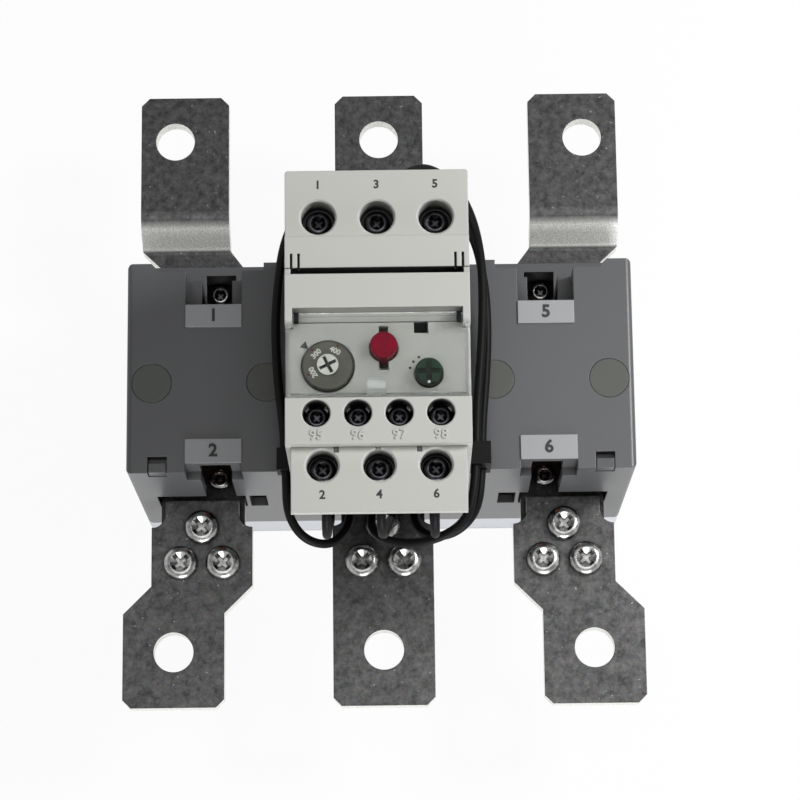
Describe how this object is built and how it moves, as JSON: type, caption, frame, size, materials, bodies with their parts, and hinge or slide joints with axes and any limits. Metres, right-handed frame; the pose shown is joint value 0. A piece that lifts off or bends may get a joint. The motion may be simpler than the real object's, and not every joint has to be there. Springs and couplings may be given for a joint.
{
  "type": "thermal overload relay",
  "caption": "Three-pole thermal overload relay on a current-transformer block with flat bar terminals, screw terminals, a current dial, test and reset buttons and a clear hinged cover.",
  "frame": {"origin": "centre of the flat mounting back, in the plane it rests on", "axes": "+Z out of the front, +Y towards the line terminals, +X to the right seen from the front"},
  "size_m": [0.144, 0.1748, 0.1654],
  "materials": {
    "housing": "satin moulded",
    "base": "satin moulded",
    "head": "fine matt moulded",
    "head_dark": "fine matt moulded",
    "black_plastic": "moulded",
    "copper_tinned": "dull tinned",
    "zinc": "zinc plated",
    "dark_steel": "blackened",
    "lamination": "stacked sheet",
    "winding": "enamelled wire",
    "brass": "bright",
    "strip": "rolled strip",
    "cream_plastic": "moulded",
    "red": "gloss",
    "green": "gloss",
    "dial": "moulded",
    "clear": "clear",
    "lead": "smooth sleeve",
    "spring": "drawn wire"
  },
  "bodies": {
    "relay": {"ct_housing": "housing", "ct_base": "base", "well_plugs": "housing", "lead_bush": "black_plastic", "cores": "lamination", "bobbins": "cream_plastic", "windings": "winding", "busbar_left": "copper_tinned", "busbar_middle": "copper_tinned", "busbar_right": "copper_tinned", "load_plate_left": "copper_tinned", "load_plate_middle": "copper_tinned", "load_plate_right": "copper_tinned", "plate_screws": "zinc", "bar_screws": "zinc", "mounting_unit": "head", "line_clamps": "zinc", "line_screws": "dark_steel", "load_block": "head", "load_clamps": "zinc", "load_screws": "dark_steel", "relay_case": "head", "relay_front": "head", "aux_block": "head", "line_strips": "strip", "heaters": "strip", "bimetals": "strip", "pivot_pin": "zinc", "nc_contacts": "brass", "no_contacts": "brass", "aux_washers": "zinc", "aux_screws": "dark_steel", "test_spring": "spring", "reset_spring": "spring", "lead_clip_left": "black_plastic", "lead_clip_right": "black_plastic", "line_lead_left": "lead", "line_lead_middle": "lead", "line_lead_right": "lead", "load_lead_left": "lead", "load_lead_middle": "lead", "load_lead_right": "lead"},
    "slider": {"slider_bar": "cream_plastic"},
    "lever": {"trip_lever": "cream_plastic"},
    "carriage": {"contact_carriage": "cream_plastic", "nc_bridge": "brass", "no_bridge": "brass"},
    "flag": {"trip_flag": "green"},
    "dial": {"current_dial": "dial", "dial_cam": "cream_plastic"},
    "test": {"test_button": "red"},
    "plunger": {"reset_plunger": "green"},
    "knob": {"reset_knob": "green"},
    "lid": {"cover": "clear"}
  },
  "joints": [
    {"name": "slider_slide", "type": "slide", "parent": "relay", "child": "slider", "axis": [1, 0, 0], "range_m": [0, 0.002], "stiffness_N_per_m": 150, "springref_m": -0.001},
    {"name": "lever_turn", "type": "hinge", "parent": "relay", "child": "lever", "pos_m": [0.0072, -0.024, 0.1355], "axis": [0, 0, -1], "range_deg": [0, 9.6]},
    {"name": "carriage_slide", "type": "slide", "parent": "relay", "child": "carriage", "axis": [-1, 0, 0], "range_m": [0, 0.0017]},
    {"name": "flag_slide", "type": "slide", "parent": "relay", "child": "flag", "axis": [1, 0, 0], "range_m": [0, 0.0037]},
    {"name": "dial_turn", "type": "hinge", "parent": "relay", "child": "dial", "pos_m": [-0.0122, -0.0187, 0.158], "axis": [0, 0, 1], "range_deg": [-65, 65]},
    {"name": "test_press", "type": "slide", "parent": "relay", "child": "test", "axis": [0, 0, -1], "range_m": [0, 0.0025], "stiffness_N_per_m": 400, "springref_m": -0.002, "deforming": ["test_spring"]},
    {"name": "reset_press", "type": "slide", "parent": "relay", "child": "plunger", "axis": [0, 0, -1], "range_m": [0, 0.0025], "stiffness_N_per_m": 400, "springref_m": -0.002, "deforming": ["reset_spring"]},
    {"name": "reset_turn", "type": "hinge", "parent": "plunger", "child": "knob", "pos_m": [0.0123, -0.0208, 0.159], "axis": [0, 0, 1], "range_deg": [0, 90]},
    {"name": "cover_swing", "type": "hinge", "parent": "relay", "child": "lid", "pos_m": [0, -0.0076, 0.1633], "axis": [-1, 0, 0], "range_deg": [0, 95]}
  ],
  "couplings": [
    {"joint": "lever_turn", "follows": "slider_slide", "rad_per_m": 83.14},
    {"joint": "carriage_slide", "follows": "slider_slide", "ratio": 0.8333},
    {"joint": "flag_slide", "follows": "slider_slide", "ratio": 1.8333}
  ]
}
